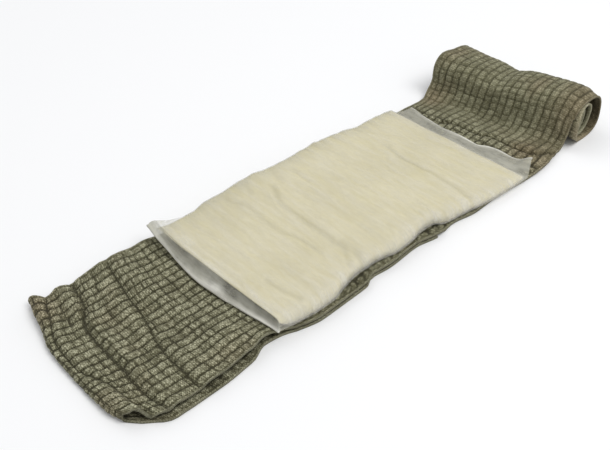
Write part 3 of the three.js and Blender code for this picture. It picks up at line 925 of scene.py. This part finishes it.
def wrap_looks(along, share, relief, tone, turn):
    """Values that the knit's material reads, for the outer and then the under face"""
    calm = rising(along, *CALMER)
    crease = np.clip(crease_dip(WRAP_CREASES, "across", share, along), 0, 1.5)
    painted_light_and_tone = mix(0.36, relief, 1 - 0.48 * calm)
    # Painted shade: the colour darkens in the creases of the laid strip
    painted_light_and_tone = painted_light_and_tone * (1 - 0.42 * crease * (along > 0) * (along < CLIMB_FROM))
    # Painted shade: the under face darkens inside the roll's turns
    inside = painted_light_and_tone * (1 - 0.5 * rising(turn, 0.1, 0.3))
    # Painted highlight: the front rims of the wound turns take the lightest colour
    painted_rim_highlight = (share < 0.012) * rising(turn, 0.5, 0.3)
    painted_light_and_tone = mix(painted_light_and_tone, 1, painted_rim_highlight)
    inside = mix(inside, 1, painted_rim_highlight)
    warm = np.zeros(along.shape)
    for place, side, length, width, force in WARM_PATCHES:
        spread = ((along - place) / length) ** 2 + ((share - side) / width) ** 2
        warm = np.maximum(warm, force * np.exp(-spread))
    # The relief value handed to the material carries this painted shade and highlight as well as
    # the cell height
    return {
        "relief": np.concatenate([painted_light_and_tone.ravel(), inside.ravel()]),
        "tone": np.tile(tone.ravel(), 2),
        "warm": np.tile(warm.ravel(), 2),
        "calm": np.tile(calm.ravel(), 2),
    }


def make_wrap():
    along, share, relief, tone = wrap_grid(FIRST_SEED)
    middle = strip(along, share)
    out = outward(along, np.clip(share, 0.003, 0.997))
    turn = turn_of_along(along)
    cell = 1 - 0.55 * rising(turn, 0.95, 0.1)
    over = middle + out * (GROUND + OUTER_CELL * relief * cell)[..., None]
    under = middle - out * (GROUND + INNER_CELL * relief * cell)[..., None]
    for face in (over, under):
        face[..., 2] = np.maximum(face[..., 2], ABOVE_FLOOR)
    points = np.concatenate([over.reshape(-1, 3), under.reshape(-1, 3)])
    flat = both_faces(share * (WRAP_WIDTH / 1000), along / 1000 + FOLD_ON_CLOTH)
    looks = wrap_looks(along, share, relief, tone, turn)
    return make_piece("wrap_cloth", points, faces_between(*along.shape, 0), flat, looks)


def share_at(x, y):
    """Share of the wrap's width that lies under a point"""
    share = y / WRAP_WIDTH
    for _ in range(3):
        share = np.clip(share - (wrap_y(x, share) - y) / WRAP_WIDTH, 0, 1)
    return share


def pad_edges(x):
    """Front and back edge of the pad"""
    along = (x - PAD_FROM) / PAD_LENGTH
    front = COVER_FRONT + EDGE_SAG * curve(PAD, "along", "front_in", along)
    back = COVER_FRONT + COVER_WIDTH - EDGE_SAG * curve(PAD, "along", "back_in", along)
    return front, back


def rounded(distance, radius):
    """Height of a quarter circle at a distance from its foot, from 0 to 1"""
    share = np.clip(distance / radius, 0, 1)
    return np.sqrt(1 - (1 - share) ** 2)


def veil_end(name, y):
    return curve(VEIL_ENDS, "from_front", name, y)


def veil_fold(x, y):
    """Share of the small fold in the loose veil at the pad's start"""
    across, deep = FOLD_SPREAD
    from_rim = x - veil_end("start", y)
    return np.exp(-((y - FOLD_PLACE) / across) ** 2 - ((from_rim - deep) / deep) ** 2)


def pad_faces(x, y):
    """Lower and upper face of the pad's veil at one point"""
    share = (y - COVER_FRONT) / COVER_WIDTH
    along = (x - PAD_FROM) / PAD_LENGTH
    full = PAD_HEIGHT * height_across(PAD, along, np.clip(share, 0, 1)) - FLANGE
    front, back = pad_edges(x)
    from_side = np.minimum(y - front, back - y)
    rim = veil_end("start", y)
    tent = np.clip((x - rim - 0.6) / (CORE_START - rim - 0.8), 0, 1)
    start_rise = 0.86 * tent + 0.14 * rounded(x - CORE_START + 0.2, 1.4)
    end_rise = rounded(CORE_END + 1.5 - x, 6)
    ends = np.minimum(start_rise, end_rise)
    side_rise = rounded(from_side, ROUNDING)
    seam = 0.12 * full * ends * (1 - side_rise)
    towards_start = blend((CORE_START + 9 - x) / 13.5)
    corner = CORNER_LIFT * towards_start * rising(share, 0.72, 0.28)
    loose = 1 - rounded(CORE_END + 8 - x, 8)
    wrinkle = 0.35 * loose * (1 + noise(x / 7, y / 8, 25)) + FOLD_RISE * veil_fold(x, y)
    turned_up = END_CURL * blend((x - CORE_END - 3) / 10) * blend((9 - y) / 9)
    low = laid_top(x, share_at(x, y)) + PIECE_GAP + seam + corner + wrinkle + turned_up
    body = ends * side_rise
    dip = crease_dip(PAD_CREASES, "from_front", y, x)
    fine = 0.14 * noise(x / 1.9 + y / 40, y / 16, 22)
    swell = 0.35 * noise(x / 13, y / 17, 23)
    near_side = np.exp(-from_side / 6)
    ripple = 0.27 * noise(x / 4.2, y / 34, 21) + fine * (1 - near_side)
    pucker = 0.3 * near_side * noise(x / 5.5, y / 30, 24)
    high = low + FLANGE + full * np.minimum(ends, side_rise) - seam
    return low, high + body * (ripple + swell + pucker - dip)


def veil_wing(x, y):
    """How far the veil's start corner is pulled up above the filling"""
    return VEIL_LIFT * veil_end("wing", y) * np.clip((CORE_START + 16 - x) / 21, 0, 1)


def pad_grid(start, end, inset):
    """Points from above of one shell of the pad, closer together near its borders"""
    count = int(round((COVER_END - COVER_START) / PAD_STEP)) + 1
    x = np.linspace(COVER_START, COVER_END, count)
    x = np.unique(np.clip(x, start, end))
    corner = CORE_START + np.array([-2.2, -1.6, -1.1, -0.7, -0.4, -0.2, 0, 0.2, 0.5, 0.9, 1.4, 2])
    x = x[(x < corner[0] - 0.3) | (x > corner[-1] + 0.3)]
    x = np.union1d(x, corner[corner >= start])
    border = np.array([0, 0.25, 0.7, 1.4, 2.4, 3.6]) / COVER_WIDTH
    count = int(round((COVER_WIDTH - 10) / PAD_STEP))
    plain = np.linspace(5 / COVER_WIDTH, 1 - 5 / COVER_WIDTH, count)
    share = np.concatenate([border, plain, 1 - border[::-1]])
    front, back = pad_edges(x)
    y = mix(front[:, None] + inset, back[:, None] - inset, share[None, :])
    x = np.repeat(x[:, None], len(share), axis=1)
    start_edge = CORE_START - veil_end("start", y)
    end_edge = veil_end("end", y) - CORE_END
    before = CORE_START - (CORE_START - x) * start_edge / (CORE_START - COVER_START)
    beyond = CORE_END + (x - CORE_END) * end_edge / (COVER_END - CORE_END)
    x = np.where(x < CORE_START, before, np.where(x > CORE_END, beyond, x))
    return x, y


def shell_between(x, y, inset, wing=0.0, undercut=0.0):
    """Points of the pad's upper and lower face, both moved in by the inset"""
    low, high = pad_faces(x, y)
    middle = (low + high) / 2
    high = np.maximum(high - inset, middle + 0.05) + wing
    low = np.minimum(low + inset, middle - 0.05) + wing
    over = np.stack([x, y, high], -1).reshape(-1, 3)
    back = undercut * (1 - rising(x, CORE_START, 12))
    under = np.stack([x + back, y, low], -1).reshape(-1, 3)
    return np.concatenate([over, under])


def make_core():
    x, y = pad_grid(CORE_START, CORE_END, CORE_INSET[0])
    points = shell_between(x, y, CORE_INSET[1], undercut=UNDERCUT)
    # Crease depth that the filling's material paints as shade
    shade = np.clip(crease_dip(PAD_CREASES, "from_front", y, x), 0, 1.2)
    values = {"crease": np.tile(shade.ravel(), 2)}
    flat = both_faces(y / 1000, x / 1000)
    return make_piece("pad_filling", points, faces_between(*x.shape, 0), flat, values)


def veil_looks(x, y, flange, tented, taut):
    """How much of the light the veil stops, and how pale it looks there"""
    front, back = pad_edges(x)
    start = veil_end("start", y)
    rim = np.minimum(x - start, veil_end("end", y) - x)
    slope = np.clip((x - start - 0.8) / (CORE_START - start - 0.8), 0, 1)
    wing = veil_end("wing", y)
    tented = mix(tented, flange, wing)
    beyond = blend((x - CORE_END + 1) / 3)
    flange = flange * (1 - 0.3 * beyond * rising(y, 40, 20))
    loose = mix(1.4 * flange, tented, slope) * (1 - 0.22 * blend((36 - y) / 26))
    value = np.where(x < CORE_START, loose, mix(taut, flange, beyond))
    near = np.minimum(np.minimum(x - CORE_START, CORE_END - x), y - front)
    # Painted shade: the veil turns denser and greyer along the back edge over the filling
    painted_back_shade = bell(np.maximum(back - y, 0), 9)
    fold = veil_fold(x, y)
    # Painted light: a denser, paler veil band along the filling's ends and its front edge
    value = value + 0.13 * bell(np.maximum(near, 0), 6) * (near > 0)
    value = value + 0.1 * painted_back_shade * (near > 0)
    value = value + 0.34 * bell(rim, 1.1) + 0.25 * fold
    # The veil is grey in the flanges and the tented start, partly from its loose doubled layers
    # and partly as painted shade; white over the filling
    pale = np.where(x < CORE_START, 0, 1 - beyond)
    pale = pale * (1 - 0.8 * painted_back_shade)
    pale = np.maximum(pale, 0.9 * bell(rim, 0.9) * (1 - wing))
    pale = np.maximum(pale, 0.8 * fold)
    return np.tile(value.ravel(), 2), np.tile(pale.ravel(), 2)


def make_veil():
    x, y = pad_grid(COVER_START, COVER_END, 0)
    outer = shell_between(x, y, 0, wing=veil_wing(x, y))
    outer_looks = veil_looks(x, y, *OUTER_LOOK)
    inner_x, inner_y = pad_grid(CORE_START, CORE_END, VEIL_INSET[0])
    inner = shell_between(inner_x, inner_y, VEIL_INSET[1], undercut=UNDERCUT)
    inner_looks = veil_looks(inner_x, inner_y, *INNER_LOOK)
    turned_in = faces_between(*inner_x.shape, len(outer))[:, ::-1]
    faces = np.concatenate([faces_between(*x.shape, 0), turned_in])
    flats = [both_faces(y / 1000, x / 1000), both_faces(inner_y / 1000, inner_x / 1000)]
    values = {
        "closeness": np.concatenate([outer_looks[0], inner_looks[0]]),
        "pale": np.concatenate([outer_looks[1], inner_looks[1]]),
    }
    points = np.concatenate([outer, inner])
    return make_piece("pad_veil", points, faces, np.concatenate(flats), values)


def turned(side, top, back):
    """Rotation whose axes are the three directions"""
    return Matrix([[side[i], top[i], back[i]] for i in range(3)]).to_4x4()


# Camera at the photograph's place and viewing angle
CAMERA_PLACE = (-0.28094, -0.25779, 0.294)
right = np.array([0.7217, -0.6922, 0.0])
forward = np.array([0.54027, 0.56319, -0.62524])
lens = bpy.data.cameras.new("camera")
lens.lens = 50.05
lens.sensor_width = 36
lens.sensor_fit = "HORIZONTAL"
lens.clip_start = 0.01
camera = bpy.data.objects.new("camera", lens)
looking = turned(right, np.cross(right, forward), -forward)
camera.matrix_world = Matrix.Translation(CAMERA_PLACE) @ looking
show(camera)
bpy.context.scene.camera = camera

wrap = make_wrap()
wrap.data.materials.append(cloth_material())
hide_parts("elastic_wrap")
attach(wrap, "root")

core = make_core()
core.data.materials.append(core_material())
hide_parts("pad_core")
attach(core, "root")

veil = make_veil()
veil.data.materials.append(veil_material())
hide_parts("pad_cover")
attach(veil, "root")

# Plain pale floor
floor_mesh = bpy.data.meshes.new("floor")
floor_mesh.from_pydata([(-4, -4, 0), (4, -4, 0), (4, 4, 0), (-4, 4, 0)], [], [(0, 1, 2, 3)])
floor = bpy.data.objects.new("floor", floor_mesh)
floor.location.z = -0.0001
show(floor)
pale = Nodes("pale_floor")
floor_mesh.materials.append(pale.finish(pale.shader((0.93, 0.93, 0.93, 1), 0.9, 0.0)))


def soft_light(name, place, size, power):
    """Large square lamp that faces the middle of the object"""
    lamp = bpy.data.lights.new(name, "AREA")
    lamp.size = size
    lamp.energy = power
    obj = bpy.data.objects.new(name, lamp)
    spot = np.array(place, float)
    back = spot / np.linalg.norm(spot)
    side = np.cross((0, 0, 1), back)
    side = side / np.linalg.norm(side)
    facing = turned(side, np.cross(back, side), back)
    obj.matrix_world = Matrix.Translation(place) @ facing
    show(obj)


soft_light("key", (0.35, -0.75, 1.5), 1.0, 15)
soft_light("back_fill", (0.1, 1.2, 1.2), 1.2, 4)

world = bpy.data.worlds.new("studio")
world.use_nodes = True
sky = world.node_tree.nodes["Background"]
sky.inputs["Color"].default_value = (0.97, 0.98, 1.0, 1)
sky.inputs["Strength"].default_value = 0.6
bpy.context.scene.world = world
bpy.context.scene.view_settings.view_transform = "Standard"
bpy.context.scene.view_settings.look = "None"
